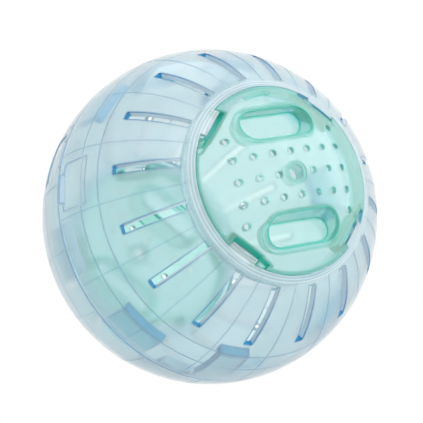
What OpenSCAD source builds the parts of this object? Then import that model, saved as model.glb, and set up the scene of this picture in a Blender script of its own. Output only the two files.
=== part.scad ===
// Hamster ball: two clear half shells that plug together at the seam, and a lift-off
// twist lid in the round opening of each. The pole axis runs along Y, the front lid
// faces -Y, +Z is up and the origin is the centre of the ball.

/* [Ball] */
// Outer diameter of the ball
ball_d = 140; // [134:1:150]
// Wall of each half shell
wall = 2.2; // [1.8:0.1:2.6]
// Running gap between pieces that slide past each other
fit_gap = 0.35; // [0.3:0.05:0.5]
// Gap between the two rims at the seam
seam_gap = 0.2; // [0.1:0.05:0.4]

/* [Air slots] */
// Number of air slots round each half
slots = 16; // [12:1:18]
// Width of an air slot at the outside of the shell
slot_w = 3.5; // [3:0.1:4.5]
// How much each side of a slot leans in through the wall
slot_lean = 0.5; // [0.2:0.1:0.9]
// Length of an air slot along the shell
slot_len = 29; // [20:1:31]
// Shell left between the door collar and the slots
slot_margin = 1; // [0.5:0.1:2]

/* [Panel grooves] */
// Width of the grooves that mark the panels
groove_w = 0.5; // [0.3:0.05:0.9]
// Depth of the grooves
groove_d = 0.2; // [0.1:0.05:0.6]
// Height above the seam of the upper ring groove
upper_ring_h = 25.6; // [24.8:0.1:27]
// Height above the seam of the lower ring groove
lower_ring_h = 15.8; // [15.4:0.1:20]

/* [Seam tongues] */
// Width of a guide tongue
guide_w = 20.4; // [14:0.1:22]
// Reach of a guide tongue past the seam
guide_len = 14; // [8:0.5:16]
// Width of a latch tongue
latch_w = 13; // [8:0.1:13.6]
// Reach of a latch tongue past the seam
latch_len = 23.4; // [16:0.1:24]
// Thickness of a tongue
tongue_t = 2; // [1.4:0.1:2.6]
// Depth of the root that joins a tongue to its own shell
root_len = 4; // [3:0.1:5]
// Height of the thick band at a tongue's tip
tip_len = 3.5; // [2:0.1:5]
// How far the tip band stands in from the tongue
tip_t = 1.2; // [0.5:0.1:2]

/* [Pry pocket] */
// Width of the thumb recess beside the seam
pry_w = 19.8; // [14:0.1:21]
// Height of the thumb recess
pry_h = 14.8; // [10:0.1:16]
// Depth of the thumb recess
pry_d = 0.5; // [0.3:0.05:0.8]
// Width of the pry slit under the recess
slit_w = 12.2; // [8:0.1:14]
// Height of the pry slit
slit_h = 3; // [2:0.1:3.4]
// Rim left between the pry slit and the seam
slit_rim = 1.2; // [1:0.1:2]

/* [Door] */
// Diameter of the lid
lid_d = 77; // [74:0.5:80]
// Thickness of the lid's dome
lid_t = 2; // [1.6:0.1:2.4]
// Depth of the lid's skirt, from the rim of the dome
skirt_len = 7; // [6:0.1:9]
// Thickness of the lid's skirt
skirt_t = 1.6; // [1.2:0.1:2]
// Wall of the collar round the door opening
collar_t = 2; // [1.4:0.1:2.4]
// Width of the seat that the skirt stands on
seat_w = 2.5; // [2:0.1:4]
// Thickness of the seat
seat_t = 1.8; // [1.2:0.1:2.5]

/* [Bayonet] */
// Width of the notches in the lid's rim
notch_w = 13; // [10:0.1:15]
// Depth of the notches, in from the rim
notch_deep = 4; // [3.8:0.1:5]
// Length of the low ledge beside each notch
ledge_len = 5; // [4.7:0.1:6]
// Depth of the ledge, in from the rim
ledge_deep = 3.6; // [3.5:0.1:3.8]
// Thickness of the ledge
ledge_t = 1.6; // [1:0.1:2]
// How far the collar's tabs reach in over the lid
tab_len = 2.2; // [1.5:0.1:2.3]
// Thickness of the tabs
tab_t = 2; // [1.5:0.1:2.4]

/* [Finger pockets] */
// Width of a finger pocket at its mouth
pocket_w = 12.9; // [12:0.1:15]
// Length of a finger pocket at its mouth
pocket_len = 34.2; // [28:0.1:36]
// Distance of each pocket's middle line from the lid's centre
pocket_off = 21.8; // [20.4:0.1:21.8]
// Depth of the pocket floor below the top of the dome
pocket_deep = 12.4; // [12:0.1:15]
// Depth over which the pocket narrows by its draft
draft_span = 9.4; // [8:0.1:10]
// How much the pocket's end radius shrinks over that depth
draft = 1.5; // [0.5:0.1:2.5]
// Wall and floor thickness of a pocket
pocket_t = 1.5; // [1.2:0.1:1.6]

/* [Vents and hub] */
// Diameter of a vent hole
vent_d = 2.7; // [2:0.1:3.6]
// Spacing of the vent holes along a row
vent_pitch = 8.15; // [7.8:0.05:8.3]
// Spacing of the vent rows
vent_row = 8.9; // [8:0.1:9.4]
// Offset of the four outer vents beyond the rows
vent_far = 17; // [15:0.1:18]
// Bore of the hub, for the pin of a stand
hub_bore_d = 6.4; // [4:0.1:6.6]
// Outer diameter of the hub's boss
hub_d = 8.8; // [8.4:0.1:9.8]
// Length of the hub's bore
hub_len = 6; // [4:0.1:8]
// Depth of the flat round the bore
hub_flat = 0.6; // [0.4:0.1:1]

/* [Turning arrow] */
// Distance of the raised arrow in from the lid's rim
arrow_in = 3.6; // [3:0.1:4.2]
// Width of the arrow's line
arrow_w = 0.9; // [0.5:0.1:1.4]
// Length of the arrow's line
arrow_len = 10; // [6:0.5:14]
// Width and length of the arrow's head
arrow_head = 2.6; // [2:0.1:3.2]
// Height of the arrow above the dome
arrow_h = 0.3; // [0.2:0.05:0.5]

/* [Hidden] */
$fn = 96;

// Directions round the pole axis, in degrees
slot_at = 5;
guide_at = 3.5;
latch_at = 59.8;
pry_at = 163;
flip_at = 132;
notch_at = 45;
arrow_at = 89;
guides = 4;
latches = 2;
pries = 2;
notches = 4;
vent_side = 3;

// One overrun carries every cut past the face it opens
cut = 1;

ball_r = ball_d / 2;
inner_r = ball_r - wall;
mid_r = ball_r - wall / 2;
tongue_out_r = inner_r - fit_gap;
tongue_in_r = tongue_out_r - tongue_t;
rim_y = seam_gap / 2;

lid_r = lid_d / 2;
open_r = lid_r + fit_gap;
collar_r = open_r + collar_t;
skirt_r = lid_r - skirt_t;
rim_h = sqrt(ball_r * ball_r - lid_r * lid_r);
skirt_h = rim_h - skirt_len;
seat_top_h = skirt_h - fit_gap;
seat_h = seat_top_h - seat_t;
seat_r = lid_r - seat_w;

slot_step = 360 / slots;
slot_from = asin((collar_r + slot_margin) / inner_r);
slot_to = slot_from + slot_len / ball_r * 180 / PI;
groove_at = slot_at + slot_step / 2;

notch_x = lid_r - notch_deep;
ledge_x = lid_r - ledge_deep;
tab_x = lid_r - tab_len;
tab_w = notch_w - 2 * fit_gap;
ledge_top_r = ball_r - tab_t - fit_gap;

pocket_r = pocket_w / 2;
pocket_half = pocket_len / 2 - pocket_r;
pocket_h = ball_r - pocket_deep;
pocket_rate = draft / draft_span;
pocket_floor_r = pocket_r - draft;
pocket_span = pocket_deep + cut;

hub_top_h = ball_r - hub_flat;
hub_h = hub_top_h - hub_len;

arrow_r = lid_r - arrow_in;
arrow_sweep = arrow_len / arrow_r * 180 / PI;

// A shell of the given radii about the centre of the ball
module zone(r_out, r_low) {
    difference() {
        sphere(r = r_out);
        sphere(r = r_low);
    }
}

// A slab between two heights above the seam
module slab(low, high) {
    translate([-ball_d, -ball_d, low])
        cube([2 * ball_d, 2 * ball_d, high - low]);
}

// A block of the given width, facing the direction `at`, between two heights
module block(at, w, low, high) {
    rotate([0, 0, at])
        translate([0, -w / 2, low])
            cube([ball_d, w, high - low]);
}

// The air slots: swept along the shell, with sides that lean in from the outside
module slot_cuts() {
    rate = slot_lean / wall;
    low = slot_w / 2 - slot_lean - rate * cut;
    high = slot_w / 2 + rate * cut;
    for (k = [0 : slots - 1])
        rotate([0, 0, slot_at + k * slot_step])
            rotate([90, 0, 0])
                rotate([0, 0, 90 - slot_to])
                    rotate_extrude(angle = slot_to - slot_from)
                        polygon([
                            [inner_r - cut, -low],
                            [ball_r + cut, -high],
                            [ball_r + cut, high],
                            [inner_r - cut, low]
                        ]);
}

// Where the other half's tongues lie inside this half
module landings() {
    for (k = [0 : guides - 1])
        block(flip_at - guide_at + k * 360 / guides, guide_w + 2 * groove_w, -cut, guide_len + groove_w);
    for (k = [0 : latches - 1])
        block(flip_at - latch_at + k * 360 / latches, latch_w + 2 * groove_w, -cut, latch_len + groove_w);
}

// The thumb recesses beside the seam
module pry_blocks(grow) {
    for (k = [0 : pries - 1])
        block(pry_at + k * 360 / pries, pry_w + 2 * grow, slit_rim + slit_h - grow,
              slit_rim + slit_h + pry_h + grow);
}

// Grooves that mark the panels: one meridian between each pair of slots, and two rings
module groove_cuts() {
    difference() {
        intersection() {
            zone(ball_r + cut, ball_r - groove_d);
            union() {
                for (k = [0 : slots - 1])
                    block(groove_at + k * slot_step, groove_w, -cut, ball_r);
                slab(upper_ring_h, upper_ring_h + groove_w);
                slab(lower_ring_h, lower_ring_h + groove_w);
            }
        }
        cylinder(r = collar_r, h = ball_d);
        landings();
        pry_blocks(groove_w);
    }
}

// A tongue that is rooted on this half and reaches past the seam into the other one
module tongue(at, w, reach) {
    intersection() {
        zone(tongue_out_r, tongue_in_r);
        block(at, w, -reach, root_len);
    }
    intersection() {
        zone(mid_r, tongue_in_r);
        block(at, w, rim_y, root_len);
    }
    intersection() {
        zone(tongue_out_r, tongue_in_r - tip_t);
        block(at, w, -reach, tip_len - reach);
    }
}

module tongues() {
    for (k = [0 : guides - 1])
        tongue(guide_at + k * 360 / guides, guide_w, guide_len);
    for (k = [0 : latches - 1])
        tongue(latch_at + k * 360 / latches, latch_w, latch_len);
}

// Recess and slit that a thumbnail or coin opens the seam with
module pry_cuts() {
    intersection() {
        zone(ball_r + cut, ball_r - pry_d);
        pry_blocks(0);
    }
    for (k = [0 : pries - 1])
        intersection() {
            zone(ball_r + cut, inner_r - cut);
            block(pry_at + k * 360 / pries, slit_w, slit_rim, slit_rim + slit_h);
        }
}

// The door's collar with the seat that the skirt stands on
module collar() {
    difference() {
        intersection() {
            sphere(r = ball_r);
            translate([0, 0, seat_h])
                cylinder(r = collar_r, h = ball_r);
        }
        translate([0, 0, seat_top_h])
            cylinder(r = open_r, h = ball_r);
        translate([0, 0, seat_h - cut])
            cylinder(r = seat_r, h = ball_r);
    }
}

// The four tabs that the lid's ledges turn under
module tabs() {
    for (k = [0 : notches - 1])
        intersection() {
            zone(ball_r, ball_r - tab_t);
            rotate([0, 0, notch_at + k * 360 / notches])
                translate([tab_x, -tab_w / 2, 0])
                    cube([open_r + collar_t / 2 - tab_x, tab_w, ball_r]);
        }
}

// One half shell, with its pole up
module half_shell() {
    difference() {
        intersection() {
            zone(ball_r, inner_r);
            slab(rim_y, ball_r + cut);
        }
        cylinder(r = open_r, h = ball_d);
        slot_cuts();
        groove_cuts();
        pry_cuts();
    }
    collar();
    tabs();
    tongues();
}

// The lid's outline, shrunk by `grow` all round
module lid_outline(grow) {
    difference() {
        circle(r = lid_r - grow);
        for (k = [0 : notches - 1])
            rotate(notch_at + k * 360 / notches)
                translate([notch_x - grow, -notch_w / 2 - grow])
                    square([lid_r, notch_w + 2 * grow]);
    }
}

// The ledges' outlines beside the notches, grown by `grow` towards the lid
module ledge_outlines(grow) {
    for (k = [0 : notches - 1])
        rotate(notch_at + k * 360 / notches)
            translate([ledge_x - grow, notch_w / 2])
                square([lid_r, ledge_len + grow]);
}

// A finger pocket's tapered form, from its floor up; `grow` makes the outside of its wall
module pocket_form(grow) {
    low_r = pocket_floor_r + grow;
    high_r = low_r + pocket_rate * pocket_span;
    translate([0, 0, pocket_h - grow]) {
        for (side = [-1, 1])
            translate([side * pocket_half, 0, 0])
                cylinder(r1 = low_r, r2 = high_r, h = pocket_span);
        rotate([90, 0, 90])
            linear_extrude(height = 2 * pocket_half, center = true)
                polygon([
                    [-low_r, 0],
                    [low_r, 0],
                    [high_r, pocket_span],
                    [-high_r, pocket_span]
                ]);
    }
}

module pockets(grow) {
    for (side = [-1, 1])
        translate([0, side * pocket_off, 0])
            pocket_form(grow);
}

module vents() {
    for (i = [-vent_side : vent_side], j = [-1 : 1])
        if (i != 0 || j != 0)
            translate([i * vent_pitch, j * vent_row, pocket_h])
                cylinder(d = vent_d, h = ball_r);
    for (i = [-1, 1], j = [-1, 1])
        translate([i * vent_side * vent_pitch, j * vent_far, pocket_h])
            cylinder(d = vent_d, h = ball_r);
}

// A raised arrow that shows which way the lid turns shut
module arrow() {
    intersection() {
        zone(ball_r + arrow_h, ball_r - lid_t / 2);
        union() {
            rotate([0, 0, arrow_at])
                rotate_extrude(angle = arrow_sweep)
                    translate([arrow_r - arrow_w / 2, 0])
                        square([arrow_w, ball_d]);
            rotate([0, 0, arrow_at])
                linear_extrude(height = ball_d)
                    polygon([
                        [arrow_r - arrow_head / 2, 0],
                        [arrow_r + arrow_head / 2, 0],
                        [arrow_r, -arrow_head]
                    ]);
        }
    }
}

// One lid, with its dome up
module lid() {
    difference() {
        union() {
            // Dome
            intersection() {
                zone(ball_r, ball_r - lid_t);
                linear_extrude(height = ball_d) lid_outline(0);
            }
            // Skirt
            intersection() {
                sphere(r = ball_r - lid_t / 2);
                translate([0, 0, skirt_h])
                    linear_extrude(height = ball_r)
                        difference() {
                            lid_outline(0);
                            lid_outline(skirt_t);
                        }
            }
            // Ledge plates
            intersection() {
                zone(ball_r - lid_t / 2, ledge_top_r - ledge_t);
                linear_extrude(height = ball_d)
                    intersection() {
                        lid_outline(0);
                        ledge_outlines(skirt_t);
                    }
            }
            // Pocket walls
            intersection() {
                sphere(r = ball_r - lid_t / 2);
                pockets(pocket_t);
            }
            // Hub boss
            translate([0, 0, hub_h])
                cylinder(d = hub_d, h = hub_top_h - hub_h);
            arrow();
        }
        pockets(0);
        vents();
        // Ledges, lowered so that the tabs pass over them
        intersection() {
            zone(ball_r + cut, ledge_top_r);
            linear_extrude(height = ball_d) ledge_outlines(0);
        }
        // Flat round the hub, and its bore
        translate([0, 0, hub_top_h])
            cylinder(d = hub_d, h = ball_r);
        translate([0, 0, hub_h - cut])
            cylinder(d = hub_bore_d, h = ball_r);
    }
}

// Turns a piece made with its pole up to face the front, or the rear
module at_front() {
    rotate([90, 0, 0]) children();
}

module at_rear() {
    rotate([90, 0, 0])
        rotate([0, 0, flip_at])
            rotate([180, 0, 0])
                children();
}

module front_half() {
    color([0.80, 0.90, 0.96, 0.5]) at_front() half_shell();
}

module rear_half() {
    color([0.74, 0.86, 0.94, 0.5]) at_rear() half_shell();
}

module front_lid() {
    color([0.66, 0.90, 0.84, 0.7]) at_front() lid();
}

module rear_lid() {
    color([0.66, 0.90, 0.84, 0.7]) at_rear() lid();
}

front_half();
rear_half();
front_lid();
rear_lid();
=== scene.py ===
# %% [markdown]
# # A clear hamster ball
# The object is a running ball for a small pet: two half shells of clear blue plastic that plug
# together at the seam, and a mint green lid in the round door of each. Everything here is
# moulded plastic that light goes through, so the work is in two things: surfaces smooth
# enough to look through, and a plastic whose colour comes from its depth.
#
# The measured solids come with the frame, and none of them moves. Lengths in this file are in
# metres, and the ball's centre is the origin. The pole axis, on which both lids sit, is Y. The
# front half and its lid are at negative Y, and the seam is where Y is 0.

# %% Load the fixed frame
import math
from types import SimpleNamespace

import bmesh
import bpy
from mathutils import Matrix, Vector


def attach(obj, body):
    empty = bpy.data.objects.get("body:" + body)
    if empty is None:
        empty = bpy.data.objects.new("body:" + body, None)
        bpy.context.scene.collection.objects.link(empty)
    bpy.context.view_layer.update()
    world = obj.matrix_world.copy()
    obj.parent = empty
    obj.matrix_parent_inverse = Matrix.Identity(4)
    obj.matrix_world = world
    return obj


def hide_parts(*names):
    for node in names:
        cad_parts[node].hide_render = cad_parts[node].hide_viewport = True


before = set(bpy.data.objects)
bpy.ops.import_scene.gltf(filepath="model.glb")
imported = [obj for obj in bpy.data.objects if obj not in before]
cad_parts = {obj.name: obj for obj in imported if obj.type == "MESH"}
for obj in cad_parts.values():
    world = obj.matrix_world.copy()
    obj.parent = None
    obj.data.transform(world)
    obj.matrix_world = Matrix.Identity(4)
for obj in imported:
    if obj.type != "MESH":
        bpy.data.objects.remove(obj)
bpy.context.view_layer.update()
BALL_R = 0.070
print("nodes:", sorted(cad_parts))

# %% [markdown]
# ## Camera
# A product photo like this one is taken with a long lens from well back, so the ball's outline
# stays a circle. The camera looks at the front lid from its left and a little from below, and
# is rolled so that the rows of holes climb to the right. Three angles could aim it, or a
# constraint that tracks a target, but the roll is awkward in both. A camera's own axes are its
# right, its up and the way back from what it looks at, so a matrix with those three columns
# turns and rolls it in one step.


# %% Place the camera
def aim_camera(right, up, back, distance, lens, shift):
    data = bpy.data.cameras.new("studio_camera")
    camera = bpy.data.objects.new("studio_camera", data)
    bpy.context.scene.collection.objects.link(camera)
    data.sensor_width = 36.0
    data.lens = lens
    data.shift_x, data.shift_y = shift
    data.clip_start, data.clip_end = 0.01, 20.0
    columns = [Vector(way).normalized() for way in (right, up, back)]
    turn = Matrix([[column[i] for column in columns] for i in range(3)]).to_4x4()
    camera.matrix_world = Matrix.Translation(columns[2] * distance) @ turn
    bpy.context.scene.camera = camera
    return camera


camera = aim_camera(
    right=(0.8376, -0.4880, -0.2451),
    up=(0.1336, -0.2522, 0.9584),
    back=(-0.5295, -0.8356, -0.1461),
    distance=11.2 * BALL_R,
    lens=158.9,
    shift=(0.0040, 0.0128),
)
print("camera at", [round(v, 3) for v in camera.location], "lens", camera.data.lens)

# %% [markdown]
# ## Words for node trees
# Blender keeps a material, and the world, as a tree of nodes joined by links. By hand that is
# dragging and clicking. A script needs the same three steps over and over: empty a tree, add a
# node with its settings, and join two sockets. Each of them becomes one short function here,
# so that the cells below read as a recipe.


# %% Empty a tree, add a node, join two sockets
def node_tree(owner):
    owner.use_nodes = True
    owner.node_tree.nodes.clear()
    return owner.node_tree


def add(tree, kind, **values):
    """A new node, with its settings as names and its sockets as Socket_Name."""
    node = tree.nodes.new(kind)
    for name, value in values.items():
        socket = node.inputs.get(name.replace("_", " "))
        if name[0].isupper() and socket is not None:
            socket.default_value = value
        else:
            setattr(node, name, value)
    return node


def join(tree, start, end):
    tree.links.new(start, end)


print("words for trees:", [word.__name__ for word in (node_tree, add, join)])

# %% [markdown]
# ## Arithmetic in nodes
# One moulding has several finishes: polished faces, a milky collar, blue edges. A second
# material on some of the faces would end in a hard border, on the facets' own outlines. A mask
# does it better. It is a share from 0 to 1, worked out at each point from where the point is.
# The functions below multiply and compare such shares, a ramp turns a length into a share with
# a soft border, and a blend mixes two colours by one. Further down, each ramp has a name and
# four numbers: where it starts and ends, and its value before and after.


# %% Multiply, compare and weaken shares
def math_node(tree, operation, *values):
    """One step of arithmetic; each value is a number or a socket."""
    node = add(tree, "ShaderNodeMath", operation=operation)
    for i, value in enumerate(values):
        if hasattr(value, "links"):
            join(tree, value, node.inputs[i])
        else:
            node.inputs[i].default_value = value
    return node.outputs[0]


def product(tree, first, *others):
    total = first
    for other in others:
        total = math_node(tree, "MULTIPLY", total, other)
    return total


def larger(tree, first, second):
    return math_node(tree, "MAXIMUM", first, second)


def size_of(tree, value):
    return math_node(tree, "ABSOLUTE", value)


def weaker(tree, share, part):
    """1 where the share is 0, and less by the given part where it is 1."""
    return math_node(tree, "MULTIPLY_ADD", share, -part, 1.0)


print("words for shares:", [word.__name__ for word in (product, larger, size_of, weaker)])


# %% Soft steps and blends of two colours
def ramp(tree, value, start, end, before=0.0, after=1.0):
    """A smooth step from before to after as the value goes from start to end."""
    node = add(tree, "ShaderNodeMapRange", interpolation_type="SMOOTHSTEP")
    for socket, number in zip(("From Min", "From Max", "To Min", "To Max"), (start, end, before, after)):
        node.inputs[socket].default_value = number
    join(tree, value, node.inputs["Value"])
    return node.outputs["Result"]


def blend(tree, share, first, second):
    """Mix two colours; each is a colour or a socket. Sockets 6 and 7 are the two colours."""
    node = add(tree, "ShaderNodeMix", data_type="RGBA")
    join(tree, share, node.inputs[0])
    for i, value in ((6, first), (7, second)):
        if hasattr(value, "links"):
            join(tree, value, node.inputs[i])
        else:
            node.inputs[i].default_value = (*value, 1)
    return node.outputs[2]


print("words for borders and colours:", [word.__name__ for word in (ramp, blend)])

# %% [markdown]
# ## White background
# The background is plain white, and clear plastic shows it twice, round the ball and through
# it. A white world would do that, but it would also light the ball from all sides and wash out
# its shading. The Light Path node tells what kind of ray asks. Rays from the camera, off a
# shiny face or through clear plastic get white at a strength of 1. All others, which carry the
# light to the ball, get a weaker and slightly cool light.

# %% White where it is seen, softer where it lights
WHITE = (1.0, 1.0, 1.0, 1.0)


def seen_rays(tree):
    """1 for rays from the camera, off a shiny face or through clear plastic."""
    path = add(tree, "ShaderNodeLightPath")
    first = larger(tree, path.outputs["Is Camera Ray"], path.outputs["Is Glossy Ray"])
    return larger(tree, first, path.outputs["Is Transmission Ray"])


def make_world(light, strength):
    world = bpy.data.worlds.new("white_studio")
    bpy.context.scene.world = world
    tree = node_tree(world)
    out = add(tree, "ShaderNodeOutputWorld")
    seen = add(tree, "ShaderNodeBackground", Color=WHITE, Strength=1.0)
    lit = add(tree, "ShaderNodeBackground", Color=light, Strength=strength)
    mix = add(tree, "ShaderNodeMixShader")
    join(tree, seen_rays(tree), mix.inputs[0])
    join(tree, lit.outputs[0], mix.inputs[1])
    join(tree, seen.outputs[0], mix.inputs[2])
    join(tree, mix.outputs[0], out.inputs["Surface"])
    return world


world = make_world(light=(0.95, 0.97, 1.0, 1.0), strength=0.55)
print(world.name, "has", len(world.node_tree.nodes), "nodes")

# %% [markdown]
# ## Floor
# The ball is held at its hub, so the floor lies a little below it and takes only its soft
# shadow. A plain pale floor would end in a hard line at the horizon in side views. A curved
# backdrop would hide that line from one side only, and the ball is looked at from all sides.
# So the paint is mixed with white glow where the floor is seen. Close to the ball the paint is
# stronger and keeps the shadow. Far away the glow is all, and floor and background are one.

# %% The floor
FLOOR_Z = -0.22
FLOOR_HALF = 3.0
FADE_TO_WHITE = (0.3, 1.3, 0.4, 1.0)


def floor_paint():
    material = bpy.data.materials.new("pale_floor")
    tree = node_tree(material)
    out = add(tree, "ShaderNodeOutputMaterial")
    paint = add(tree, "ShaderNodeBsdfDiffuse", Color=(0.92, 0.92, 0.92, 1))
    glow = add(tree, "ShaderNodeEmission", Color=WHITE, Strength=1.0)
    place = add(tree, "ShaderNodeTexCoord")
    away = add(tree, "ShaderNodeVectorMath", operation="LENGTH")
    join(tree, place.outputs["Object"], away.inputs[0])
    far = ramp(tree, away.outputs["Value"], *FADE_TO_WHITE)
    mix = add(tree, "ShaderNodeMixShader")
    join(tree, product(tree, far, seen_rays(tree)), mix.inputs[0])
    join(tree, paint.outputs[0], mix.inputs[1])
    join(tree, glow.outputs[0], mix.inputs[2])
    join(tree, mix.outputs[0], out.inputs["Surface"])
    return material


def make_floor(height, half):
    mesh = bpy.data.meshes.new("studio_floor")
    signs = ((-1, -1), (1, -1), (1, 1), (-1, 1))
    corners = [(x * half, y * half, height) for x, y in signs]
    mesh.from_pydata(corners, [], [(0, 1, 2, 3)])
    floor = bpy.data.objects.new("studio_floor", mesh)
    bpy.context.scene.collection.objects.link(floor)
    mesh.materials.append(floor_paint())
    return floor


floor = make_floor(FLOOR_Z, FLOOR_HALF)
print("floor", [round(side, 2) for side in floor.dimensions], "at height", FLOOR_Z)

# %% [markdown]
# ## Soft lamps
# A shiny clear shell mirrors its lamps. A small strong lamp leaves a hard white spot, and a
# large weak one a grey panel, because it is darker than the white behind it. The photo has
# neither, so each lamp gets the size at which it is just as bright as the background. The
# brightness of a square lamp is its power over pi times its area, and for a brightness of 1
# the side is the root of the power over pi. The key lamp stands in front, the fill lamp at the
# right, and the top lamp lights the upper rims.


# %% Three lamps as bright as the background
def add_lamp(name, place, watts):
    """A square lamp that faces the ball, with a brightness of 1."""
    data = bpy.data.lights.new(name, "AREA")
    data.shape = "SQUARE"
    data.size = math.sqrt(watts / math.pi)
    data.energy = watts
    lamp = bpy.data.objects.new(name, data)
    lamp.location = place
    lamp.rotation_euler = Vector(place).to_track_quat("Z", "Y").to_euler()
    bpy.context.scene.collection.objects.link(lamp)
    return lamp


lamps = [
    add_lamp("key_lamp", (0.0, -1.3, 0.7), 13.0),
    add_lamp("fill_lamp", (1.2, -0.9, 0.3), 4.0),
    add_lamp("top_lamp", (0.3, 0.2, 1.4), 2.5),
]
for lamp in lamps:
    print(lamp.name, lamp.data.energy, "W,", round(lamp.data.size, 2), "m wide")

# %% [markdown]
# ## Smooth shells
# The frame's meshes are flat facets, a few millimetres across. On opaque plastic they would
# pass, but clear plastic bends light at every facet, so each one would show. A sphere built
# anew could be smooth, but then every slot, notch and tongue would have to be cut again.
# Here each piece starts as a copy of its frame mesh instead. Long edges on its round faces
# are split, the new points are moved out to the true radius, and the shading normals are
# written from the sphere itself. Flat walls keep their crisp edges.

# %% Find the faces that lie on a sphere about the ball's centre
SAME_RADIUS = 3e-5
ALONG_RADIUS = 0.985


def round_faces(bm):
    """Faces whose corners share one large radius and whose normal points along it."""
    found = []
    for face in bm.faces:
        radii = [vert.co.length for vert in face.verts]
        if max(radii) - min(radii) >= SAME_RADIUS or max(radii) <= 0.5 * BALL_R:
            continue
        out = face.calc_center_median().normalized()
        if abs(face.normal.dot(out)) > ALONG_RADIUS:
            found.append(face)
    return found


trial = bmesh.new()
trial.from_mesh(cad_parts["front_half"].data)
print("front_half:", len(round_faces(trial)), "round faces of", len(trial.faces))
trial.free()

# %% Split long edges and push the new points out
LONGEST_EDGE = 0.0028
SPLIT_ROUNDS = 4


def refine(bm):
    """Halve long edges of round faces a few times, and move the new points to the sphere."""
    for _ in range(SPLIT_ROUNDS):
        bm.normal_update()
        edges = {edge for face in round_faces(bm) for edge in face.edges}
        long_edges = [edge for edge in bm.edges if edge in edges and edge.calc_length() > LONGEST_EDGE]
        if not long_edges:
            break
        made = bmesh.ops.subdivide_edges(bm, edges=long_edges, cuts=1)
        for item in made["geom_inner"]:
            if isinstance(item, bmesh.types.BMVert):
                around = [edge.other_vert(item).co.length for edge in item.link_edges]
                item.co = item.co.normalized() * max(around)
        bmesh.ops.triangulate(bm, faces=[face for face in bm.faces if len(face.verts) > 3])


print("edges over", LONGEST_EDGE, "on round faces are halved, up to", SPLIT_ROUNDS, "times")

# %% [markdown]
# A shading normal is the direction that a corner of a face claims to face. Blender's own
# smoothing averages neighbours, and an average bends wherever a facet is long and thin, as
# they are beside a slot. On a sphere the right answer is known at every point: straight out
# from the centre. So round faces get that, and the rest get the average of those neighbours
# that meet them at less than the crease angle.

# %% Write the shading normals
CREASE = math.radians(35)


def corner_normal(face, vert, curved):
    if face.index in curved:
        out = vert.co.normalized()
        return out if face.normal.dot(out) > 0 else -out
    total = Vector()
    for near in vert.link_faces:
        if near.index not in curved and near.normal.dot(face.normal) > math.cos(CREASE):
            total += near.normal * near.calc_area()
    return total.normalized() if total.length > 0 else face.normal.copy()


def write_normals(mesh):
    bm = bmesh.new()
    bm.from_mesh(mesh)
    bm.normal_update()
    bm.faces.ensure_lookup_table()
    curved = {face.index for face in round_faces(bm)}
    normals = [corner_normal(face, vert, curved) for face in bm.faces for vert in face.verts]
    bm.free()
    for polygon in mesh.polygons:
        polygon.use_smooth = True
    mesh.normals_split_custom_set(normals)


print("edges sharper than", round(math.degrees(CREASE)), "degrees stay crisp")

# %% Copy a piece of the frame, smoothed
WELD = 1e-6


def smooth_copy(node, name):
    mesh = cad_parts[node].data.copy()
    mesh.name = name
    bm = bmesh.new()
    bm.from_mesh(mesh)
    bmesh.ops.remove_doubles(bm, verts=bm.verts, dist=WELD)
    before = len(bm.faces)
    refine(bm)
    bm.to_mesh(mesh)
    bm.free()
    write_normals(mesh)
    mesh.materials.clear()
    piece = bpy.data.objects.new(name, mesh)
    bpy.context.scene.collection.objects.link(piece)
    print(name, "faces", before, "->", len(mesh.polygons))
    return piece


NODES = ("front_half", "rear_half", "front_lid", "rear_lid")
pieces = {node: smooth_copy(node, node + "_clear") for node in NODES}

# %% [markdown]
# ## Clear plastic
# Coloured clear plastic takes its colour from how far light travels inside it. Face on, a
# thin wall is almost white. Along a rim, light runs lengthwise through the wall and comes out
# deep in colour. So the surface itself is nearly colourless, and the tint sits in a volume
# that absorbs a little light on each millimetre. A faint share of plain scattering stands for
# the haze of moulded plastic and catches the lamps.
#
# The rest of the look is in masks, and each one starts from the same few measures of a point:
# how far it is from the ball's centre and from the pole axis, and its angle round that axis.
# They use the piece's own coordinates, so the finish travels with a lid that is lifted out.


# %% Measure a point, in the piece's own coordinates
def measures(tree):
    """The point and its normal, and its radius, distance from the axis, place on it and angle."""
    place = add(tree, "ShaderNodeTexCoord")
    point = place.outputs["Object"]
    length = add(tree, "ShaderNodeVectorMath", operation="LENGTH")
    join(tree, point, length.inputs[0])
    flat = add(tree, "ShaderNodeVectorMath", operation="MULTIPLY")
    flat.inputs[1].default_value = (1, 0, 1)
    join(tree, point, flat.inputs[0])
    off_axis = add(tree, "ShaderNodeVectorMath", operation="LENGTH")
    join(tree, flat.outputs[0], off_axis.inputs[0])
    split = add(tree, "ShaderNodeSeparateXYZ")
    join(tree, point, split.inputs[0])
    return SimpleNamespace(
        point=point,
        normal=place.outputs["Normal"],
        radius=length.outputs["Value"],
        axis=off_axis.outputs["Value"],
        x=split.outputs["X"],
        along=split.outputs["Y"],
        z=split.outputs["Z"],
        angle=math_node(tree, "ARCTAN2", split.outputs["Z"], split.outputs["X"]),
    )


for node, piece in pieces.items():
    radii = [vert.co.length for vert in piece.data.vertices]
    print(node, "radii from", round(min(radii), 4), "to", round(max(radii), 4))

# %% [markdown]
# ## Walls and edges
# The walls of slots, holes and rims come off rougher steel than the polished round faces, so
# they look frosted. They could be picked face by face, but their direction gives them away: a
# wall's normal stands across the way out of the ball.
#
# Where a wall meets a round face, a sharp edge bends the light away and shows a thin dark
# line. That line is painted here as shade, a dark tint near each sharp edge. Lines drawn in a
# texture would need a drawing of every edge. The Bevel node finds the edges: it gives the
# normal that a rounded edge would have, which differs from the true normal only close to a
# sharp edge.


# %% Share of wall, and closeness to a sharp edge
WALL_LEAN = (0.4, 0.6, 1.0, 0.0)


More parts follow.
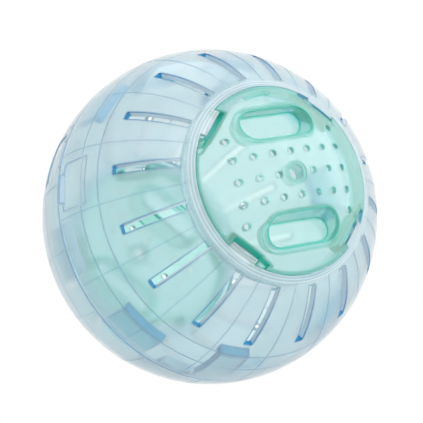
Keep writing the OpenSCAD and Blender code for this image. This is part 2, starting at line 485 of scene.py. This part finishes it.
def wall_share(tree, at, out):
    """1 where the normal is across the way out, 0 where it lies along it."""
    along = add(tree, "ShaderNodeVectorMath", operation="DOT_PRODUCT")
    if hasattr(out, "links"):
        join(tree, out, along.inputs[0])
    else:
        along.inputs[0].default_value = out
    join(tree, at.normal, along.inputs[1])
    return ramp(tree, size_of(tree, along.outputs["Value"]), *WALL_LEAN)


def edge_share(tree, reach, start, end):
    """1 on a sharp edge, 0 where the rounded normal and the true one agree."""
    soft = add(tree, "ShaderNodeBevel", samples=4, Radius=reach)
    true = add(tree, "ShaderNodeNewGeometry")
    along = add(tree, "ShaderNodeVectorMath", operation="DOT_PRODUCT")
    join(tree, soft.outputs["Normal"], along.inputs[0])
    join(tree, true.outputs["Normal"], along.inputs[1])
    differs = math_node(tree, "SUBTRACT", 1.0, along.outputs["Value"])
    return ramp(tree, differs, start, end)


half = pieces["front_half"].data
across = [face for face in half.polygons if abs(face.normal.dot(face.center.normalized())) < 0.5]
print("front_half:", len(across), "wall faces of", len(half.polygons))

# %% [markdown]
# ## Panel grooves
# Fine grooves divide each half shell into panels: sixteen meridians, each midway between two
# slots, and two rings. The solids have them, a fifth of a millimetre deep. Grooves as shallow
# as that hardly bend the light and would be lost in the render, so a mask paints the same
# lines with a darker tint, as painted shade. A sine of eight times the angle is 0 on each of
# the sixteen meridians, and close to one, its size times the distance from the axis is eight
# times the distance from the groove.

# %% Where the panel grooves run
MERIDIANS = 16
RING_HEIGHTS = (0.01605, 0.02585)
GROOVE_HALF = 0.00026
GROOVE_CLEAR = 0.0006


def groove_share(tree, at, height, turn, reach):
    """1 within reach of a groove; turn is the angle of one meridian in degrees."""
    waves = MERIDIANS / 2
    phase = math_node(tree, "MULTIPLY_ADD", at.angle, waves, -waves * math.radians(turn))
    off = product(tree, size_of(tree, math_node(tree, "SINE", phase)), at.axis)
    share = ramp(tree, off, waves * reach, 1.5 * waves * reach, 1.0, 0.0)
    for ring_height in RING_HEIGHTS:
        away = size_of(tree, math_node(tree, "SUBTRACT", height, ring_height))
        share = larger(tree, share, ramp(tree, away, reach, 1.5 * reach, 1.0, 0.0))
    return share


print("grooves:", MERIDIANS, "meridians and rings at", RING_HEIGHTS)

# %% [markdown]
# ## Frosted collar
# Round each door the shell ends in a collar, whose face is milky, with fine rings in it. Rings
# in the mesh would need thousands of faces for about a pixel each. Frost and rings are masks
# here: frost on the outer face within the collar's radius, and brighter rings in it from a
# sine of the distance to the axis.

# %% Frost and rings on the collar
OUTER_SKIN = (0.0690, 0.0695, 0.0, 1.0)
COLLAR_EDGE = (0.0415, 0.0432, 1.0, 0.0)
RING_STEP = 0.0011
RING_CREST = (0.7, 0.95, 0.0, 1.0)


def collar_zones(tree, at, outside):
    """Shares of frost and of the bright rings in it."""
    frost = product(tree, ramp(tree, at.axis, *COLLAR_EDGE), outside)
    wave = math_node(tree, "SINE", product(tree, at.axis, math.pi / RING_STEP))
    ring = product(tree, ramp(tree, size_of(tree, wave), *RING_CREST), frost)
    return frost, ring


closest = min(math.hypot(vert.co.x, vert.co.z) for vert in half.vertices)
print("the shell starts", round(closest, 4), "from the axis, and its frost ends at", COLLAR_EDGE[1])

# %% [markdown]
# ## Tongues past the seam
# Each half plugs into the other with tongues that lie against the inside of its wall: four
# broad guides and two longer, narrower latches. Wall and tongue together are twice as thick,
# so the tongues show as bluer patches, deepest at their cut ends. A deeper volume would need
# a material of its own on part of a closed mesh, so masks tint them instead. A tongue is what
# lies on the far side of the seam. The latches are told from the guides by their angle: they
# are paler inside, and a thin blue border of painted edge shade runs along their two sides.

# %% Tongues, their ends and the latch's painted edge shade
PAST_SEAM = (0.0002, 0.001, 0.0, 1.0)
INSIDE_FACE = (0.0648, 0.0677, 1.0, 0.0)
UNDER_SHELL = (0.0675, 0.0677, 1.0, 0.0)
LATCH_WIDTH = (0.0070, 0.0078, 1.0, 0.0)
LATCH_EDGE_SHADE = (0.0055, 0.0059, 0.0, 0.8)
LATCH_PALER = 0.6


def tongue_zones(tree, at, walls, side, latch, strength):
    """Masks of what is past the seam. The latch is an angle in degrees, and side is 1 or -1."""
    beyond = ramp(tree, product(tree, at.along, side), *PAST_SEAM)
    turned = math_node(tree, "SUBTRACT", at.angle, math.radians(latch))
    aside = product(tree, size_of(tree, math_node(tree, "SINE", turned)), at.axis)
    latched = product(tree, ramp(tree, aside, *LATCH_WIDTH), beyond)
    inside = product(tree, ramp(tree, at.radius, *INSIDE_FACE), beyond)
    inner = product(tree, ramp(tree, at.radius, *UNDER_SHELL), beyond)
    return SimpleNamespace(
        beyond=beyond,
        inner=inner,
        under=product(tree, inside, weaker(tree, latched, LATCH_PALER), strength),
        tip=product(tree, walls, inner, strength),
        # border: a thin line of painted edge shade along the latch's two sides
        border=product(tree, latched, inner, ramp(tree, aside, *LATCH_EDGE_SHADE)),
    )


past_seam = max(vert.co.y for vert in half.vertices)
print("the front half's longest tongue reaches", round(past_seam, 4), "past the seam")

# %% [markdown]
# ## Air slots
# The sixteen slots are the ball's strongest drawing. Their long walls are pale and frosted,
# and the short end wall beside the seam is a saturated blue, because light comes to it
# through the length of the shell. All walls get the frosted tone, and the slots' ends get the
# deep one. The ends are found by their slant, the distance from the axis over the radius,
# which is the same for all sixteen. The walls of grooves take no part, those of the collar
# only a little, and the seam's own face gets a trace of the deep tone.

# %% Frosted walls and deep ends
GROOVE_FLOOR = (0.0697, 0.0698, 1.0, 0.0)
COLLAR_WALL = (0.0425, 0.0435, 0.15, 1.0)
END_FROM = (0.872, 0.88, 0.0, 1.0)
END_TO = (0.90, 0.91, 1.0, 0.0)
SEAM_WALL = (0.0003, 0.0006, 0.25, 0.0)


def slot_zones(tree, at, walls, height, slant, tongues):
    """Shares of frosted wall and of deep wall."""
    below = ramp(tree, at.radius, *GROOVE_FLOOR)
    away = ramp(tree, at.axis, *COLLAR_WALL)
    wall = product(tree, walls, away, below, weaker(tree, tongues.inner, 1.0))
    ends = product(tree, ramp(tree, slant, *END_FROM), ramp(tree, slant, *END_TO))
    seam = ramp(tree, height, *SEAM_WALL)
    return wall, product(tree, wall, larger(tree, ends, seam))


slot_end = math.degrees(math.asin((END_FROM[1] + END_TO[0]) / 2))
print("slots end", round(slot_end, 1), "degrees from the pole")

# %% [markdown]
# ## Painted edge shade of the shell
# The blue lines of painted edge shade aren't equally strong. They are boldest at the slots'
# outer ends and fainter toward the door, on the collar and in the belt beside the seam, and
# the panel grooves have their own painted shade. One strength for all would look like a
# drawing in ink. So the share of edge is multiplied by what each of those places leaves of it.

# %% Painted shade lines along the shell's edges
SHELL_EDGE = dict(reach=0.0015, start=0.015, end=0.07)
DOOR_TO_BELT = (0.6, 0.8, 0.4, 1.0)
BELT = (0.018, 0.022, 1.0, 0.0)
SEAM_LINE = (0.0007, 0.0013, 0.4, 1.0)
RIM_SKIN = (0.0693, 0.0697, 0.0, 1.0)
FAINTER = dict(belt=0.6, frost=0.7, under=0.6)


def shell_edge_shade(tree, at, height, slant, outside, near_groove, frost, tongues):
    """Share of painted edge shade, a blue line, on a half shell."""
    belt = product(tree, ramp(tree, height, *BELT), outside, ramp(tree, height, *SEAM_LINE))
    free = product(
        tree,
        weaker(tree, near_groove, 1.0),
        ramp(tree, slant, *DOOR_TO_BELT),
        weaker(tree, belt, FAINTER["belt"]),
        weaker(tree, frost, FAINTER["frost"]),
        weaker(tree, tongues.under, FAINTER["under"]),
    )
    rims = larger(tree, ramp(tree, at.radius, *RIM_SKIN), tongues.beyond)
    edges = edge_share(tree, **SHELL_EDGE)
    return larger(tree, product(tree, edges, free, rims), tongues.border)


print("the belt of faint lines ends between", BELT[0], "and", BELT[1], "from the seam")

# %% [markdown]
# ## All masks of a half shell
# The rear half is the same moulding as the front one, turned end for end, so one function
# serves both. A layout says how the piece is turned: the angle of one meridian groove and of a
# latch, and on which side of the seam its tongues lie. The strength is that of the tongues.
# Those of the front half lie in the rear half, where more plastic covers them, and they are
# hardly seen, so theirs is less.

# %% The shell's masks and the two layouts
FRONT_SHELL = dict(turn=16.25, side=1, latch=59.8, strength=0.6)
REAR_SHELL = dict(turn=3.25, side=-1, latch=72.2, strength=1.0)


def shell_zones(tree, at, turn, side, latch, strength):
    """Share of each finish and of each painted shade, in the order in which one covers the other."""
    ray = add(tree, "ShaderNodeVectorMath", operation="NORMALIZE")
    join(tree, at.point, ray.inputs[0])
    walls = wall_share(tree, at, ray.outputs[0])
    height = size_of(tree, at.along)
    slant = math_node(tree, "DIVIDE", at.axis, at.radius)
    outside = ramp(tree, at.radius, *OUTER_SKIN)
    # groove: painted shade along the panel grooves
    groove = product(tree, groove_share(tree, at, height, turn, GROOVE_HALF), outside)
    near_groove = product(tree, groove_share(tree, at, height, turn, GROOVE_CLEAR), outside)
    frost, ring = collar_zones(tree, at, outside)
    tongues = tongue_zones(tree, at, walls, side, latch, strength)
    wall, deep = slot_zones(tree, at, walls, height, slant, tongues)
    # line: painted edge shade along the sharp edges
    line = shell_edge_shade(tree, at, height, slant, outside, near_groove, frost, tongues)
    return dict(
        groove=groove,
        frost=frost,
        ring=ring,
        under=tongues.under,
        wall=wall,
        deep=deep,
        tip=tongues.tip,
        line=line,
    )


print("front layout", FRONT_SHELL)
print("rear layout", REAR_SHELL)

# %% [markdown]
# ## The lid's finish
# The lid is a thin mint dome with two finger pockets, rows of vent holes, a hub and four
# notches for the collar's tabs. Its walls stand along the pole axis, because the whole lid is
# pulled from its mould that way, so that axis is the way out for its wall mask. The notches
# are the greenest, the skirt below the rim is a paler green, and the lines of painted edge
# shade are bold round the pockets and notches but thin round the vents. Two level distances
# tell them apart: one along the rows of vents and one across them.

# %% Level distances on a lid, and its masks
LID_EDGE = dict(reach=0.0018, start=0.015, end=0.08)
NOTCHES = (0.031, 0.0335, 0.0, 1.0)
SKIRT = (0.0364, 0.0367, 0.0, 1.0)
WITHIN_SKIRT = (0.0364, 0.0367, 1.0, 0.0)
RIM_LINE = (0.0374, 0.0379, 1.0, 0.5)
HUB_LINE = (0.0070, 0.0080, 0.6, 0.0)
HUB_CLEAR = (0.0070, 0.0080, 0.2, 1.0)
POCKETS_SIDE = (0.0115, 0.0135, 0.0, 1.0)
POCKETS_END = (0.0205, 0.0215, 1.0, 0.0)
VENT_LINE = 0.2


def level_distance(tree, at, x_part, z_part):
    """Distance from the lid's middle along a level direction, given by its two parts."""
    first = product(tree, at.x, x_part)
    return size_of(tree, math_node(tree, "MULTIPLY_ADD", at.z, z_part, first))


def lid_zones(tree, at, turn):
    """Share of each finish and painted edge shade on a lid; turn is its vent rows' angle in degrees."""
    walls = wall_share(tree, at, (0, 1, 0))
    sine = math.sin(math.radians(turn))
    cosine = math.cos(math.radians(turn))
    along_rows = level_distance(tree, at, cosine, sine)
    across_rows = level_distance(tree, at, sine, -cosine)
    notched = ramp(tree, at.axis, *NOTCHES)
    pocket = product(tree, ramp(tree, across_rows, *POCKETS_SIDE), ramp(tree, along_rows, *POCKETS_END))
    bold = math_node(tree, "MULTIPLY_ADD", pocket, 1.0 - VENT_LINE, VENT_LINE)
    bold = product(tree, larger(tree, bold, notched), ramp(tree, at.axis, *RIM_LINE))
    bold = larger(tree, bold, ramp(tree, at.axis, *HUB_LINE))
    return dict(
        wall=product(tree, walls, ramp(tree, at.axis, *HUB_CLEAR)),
        skirt=product(tree, walls, ramp(tree, at.axis, *SKIRT)),
        deep=product(tree, walls, notched, ramp(tree, at.axis, *WITHIN_SKIRT)),
        # line: painted edge shade, bold round pockets and notches, thin round vents
        line=product(tree, edge_share(tree, **LID_EDGE), bold),
    )


lid_reach = max(math.hypot(vert.co.x, vert.co.z) for vert in pieces["front_lid"].data.vertices)
print("lid radius", round(lid_reach, 4), "with its skirt from", SKIRT[0])

# %% [markdown]
# ## From masks to plastic
# Each mask has a tone and a haze. The tone is the plastic's colour there, except on the edge
# lines and the panel grooves, where it is painted shade. The haze is the part of the light
# that scatters instead of going through. Tones are blended one over the other.
# Hazes are compared and the strongest wins, because a point that is both wall and edge isn't
# twice as milky. Haze also grows toward the rim, where the eye looks through more plastic.
#
# Moulded plastic isn't even either. Two soft noises stand for that: one makes faint clouds in
# tone and gloss, and the other gives the surface a slow flow that bends reflections a little.

# %% Tone, haze and the flow of the surface
CLOUD_SCALE = 38.0
CLOUD_TONE = (0.35, 0.65, 0.0, 1.0)
CLOUD_DARKER = 0.97
CLOUD_GLOSS = (0.2, 0.8)
GLOSS_PARTS = (0.8, 1.2)
RIM_POWER = 4.0
FLOW_SCALE = 60.0


def blended_tone(tree, cloud, marks, tones):
    darker = [CLOUD_DARKER * part for part in tones["face"]]
    tone = blend(tree, ramp(tree, cloud, *CLOUD_TONE), darker, tones["face"])
    for mark, share in marks.items():
        tone = blend(tree, share, tone, tones[mark])
    return tone


def strongest_haze(tree, marks, hazes):
    slope = add(tree, "ShaderNodeLayerWeight", Blend=0.5)
    rim = math_node(tree, "POWER", slope.outputs["Facing"], RIM_POWER)
    haze = math_node(tree, "MULTIPLY_ADD", rim, hazes["rim"], hazes["face"])
    for mark, share in marks.items():
        haze = larger(tree, haze, product(tree, share, hazes[mark]))
    return haze


def flow_normal(tree, point):
    wave = add(tree, "ShaderNodeTexNoise", Scale=FLOW_SCALE, Detail=1.0)
    bump = add(tree, "ShaderNodeBump", Strength=0.06, Distance=0.0008)
    join(tree, point, wave.inputs["Vector"])
    join(tree, wave.outputs["Fac"], bump.inputs["Height"])
    return bump.outputs["Normal"]


print("clouds about", round(1000 / CLOUD_SCALE), "mm wide, flow about", round(1000 / FLOW_SCALE), "mm")

# %% [markdown]
# ## Light through the ball
# A path tracer treats clear plastic strictly: a lamp's light that is bent by a shell can't be
# aimed at, so behind it all is dark and speckled. The usual way out is to let rays that only
# test for shadow pass straight through a thin, faintly tinted sheet. The shadow on the floor
# turns soft and blue, and the far side of the ball is lit as it is in the photo. All other
# rays meet the true surface and the absorbing volume below it.


# %% The plastic, with its tint in the depth
def clear_plastic(name, zones, layout, tones, hazes, shade, depth_colour, density, rough):
    material = bpy.data.materials.new(name)
    tree = node_tree(material)
    out = add(tree, "ShaderNodeOutputMaterial")
    body = add(tree, "ShaderNodeBsdfPrincipled", IOR=1.45)
    at = measures(tree)
    marks = zones(tree, at, **layout)
    noise = add(tree, "ShaderNodeTexNoise", Scale=CLOUD_SCALE, Detail=2.0)
    join(tree, at.point, noise.inputs["Vector"])
    cloud = noise.outputs["Fac"]
    haze = strongest_haze(tree, marks, hazes)
    join(tree, blended_tone(tree, cloud, marks, tones), body.inputs["Base Color"])
    join(tree, weaker(tree, haze, 1.0), body.inputs["Transmission Weight"])
    gloss = ramp(tree, cloud, *CLOUD_GLOSS, *(part * rough for part in GLOSS_PARTS))
    join(tree, gloss, body.inputs["Roughness"])
    join(tree, flow_normal(tree, at.point), body.inputs["Normal"])
    path = add(tree, "ShaderNodeLightPath")
    sheet = add(tree, "ShaderNodeBsdfTransparent", Color=(*shade, 1))
    mix = add(tree, "ShaderNodeMixShader")
    join(tree, path.outputs["Is Shadow Ray"], mix.inputs[0])
    join(tree, body.outputs[0], mix.inputs[1])
    join(tree, sheet.outputs[0], mix.inputs[2])
    join(tree, mix.outputs[0], out.inputs["Surface"])
    depth = add(tree, "ShaderNodeVolumeAbsorption", Color=(*depth_colour, 1), Density=density)
    join(tree, depth.outputs[0], out.inputs["Volume"])
    print(name, "has", len(tree.nodes), "nodes")
    return material


# %% [markdown]
# ## Two tints
# A tint is picked as a set: a tone and a haze for each mask, the sheet's shade, and the colour
# and density of the volume. Both halves are the same blue. Both lids are the same mint, but
# the rear one is seen through the whole ball, where its colour would wash out, so its volume
# is about twice as dense.

# %% Clear blue
BLUE = dict(
    tones=dict(
        face=(0.89, 0.95, 0.965),
        # groove: painted shade along the panel grooves
        groove=(0.66, 0.80, 0.87),
        frost=(0.93, 0.96, 0.97),
        ring=(0.98, 0.99, 1.0),
        under=(0.0, 0.80, 0.98),
        wall=(0.88, 0.94, 1.0),
        deep=(0.05, 0.36, 0.66),
        tip=(0.03, 0.66, 0.95),
        # line: painted edge shade, a dark blue line along sharp edges
        line=(0.02, 0.20, 0.46),
    ),
    hazes=dict(
        face=0.17,
        rim=0.25,
        groove=0.28,
        frost=0.32,
        ring=0.45,
        under=0.38,
        wall=0.6,
        deep=0.85,
        tip=0.4,
        line=0.85,
    ),
    shade=(0.90, 0.955, 0.975),
    depth_colour=(0.1, 0.68, 0.86),
    density=42.0,
    rough=0.12,
)
front_blue = clear_plastic("clear_blue_plastic_front", shell_zones, FRONT_SHELL, **BLUE)
rear_blue = clear_plastic("clear_blue_plastic_rear", shell_zones, REAR_SHELL, **BLUE)

# %% Clear mint
MINT = dict(
    tones=dict(
        face=(0.845, 0.96, 0.95),
        wall=(0.70, 0.97, 0.92),
        skirt=(0.25, 0.88, 0.76),
        deep=(0.05, 0.66, 0.50),
        # line: painted edge shade, a dark green line along sharp edges
        line=(0.02, 0.56, 0.43),
    ),
    hazes=dict(face=0.2, rim=0.2, wall=0.2, skirt=0.2, deep=0.8, line=0.75),
    shade=(0.78, 0.97, 0.92),
    depth_colour=(0.0, 0.87, 0.80),
    rough=0.10,
)
front_mint = clear_plastic("clear_mint_plastic_front", lid_zones, dict(turn=0.0), density=80.0, **MINT)
rear_mint = clear_plastic("clear_mint_plastic_rear", lid_zones, dict(turn=132.0), density=170.0, **MINT)

# %% [markdown]
# ## Dress the pieces
# Each smooth copy takes its plastic and rides on the frame's part that it was copied from, so
# it moves when that part's joint does. It also stands for that part, which is then hidden:
# two surfaces in one place would flicker, and clear plastic would show both.

# %% Plastic and ride of each piece
DRESS = {
    "front_half": (front_blue, "shell_front"),
    "rear_half": (rear_blue, "shell_rear"),
    "front_lid": (front_mint, "lid_front"),
    "rear_lid": (rear_mint, "lid_rear"),
}
for node, (plastic, slot) in DRESS.items():
    piece = pieces[node]
    piece.data.materials.append(plastic)
    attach(piece, node)
    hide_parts(node)
    print(piece.name, "wears", plastic.name)

# %% [markdown]
# ## Render settings
# Colours are shown as they are, with the Standard view. On its way through the ball, light
# crosses at least two walls with two surfaces each, and more where a tongue, a collar or a
# pocket lies behind a wall. Where Blender's usual limit cuts such a path off, the plastic
# turns dark, so the rays may go on for more bounces here.

# %% Colour view and bounces
scene = bpy.context.scene
scene.view_settings.view_transform = "Standard"
scene.cycles.max_bounces = 32
scene.cycles.transmission_bounces = 32
scene.cycles.glossy_bounces = 12
scene.cycles.transparent_max_bounces = 32
print("view", scene.view_settings.view_transform, "with up to", scene.cycles.max_bounces, "bounces")
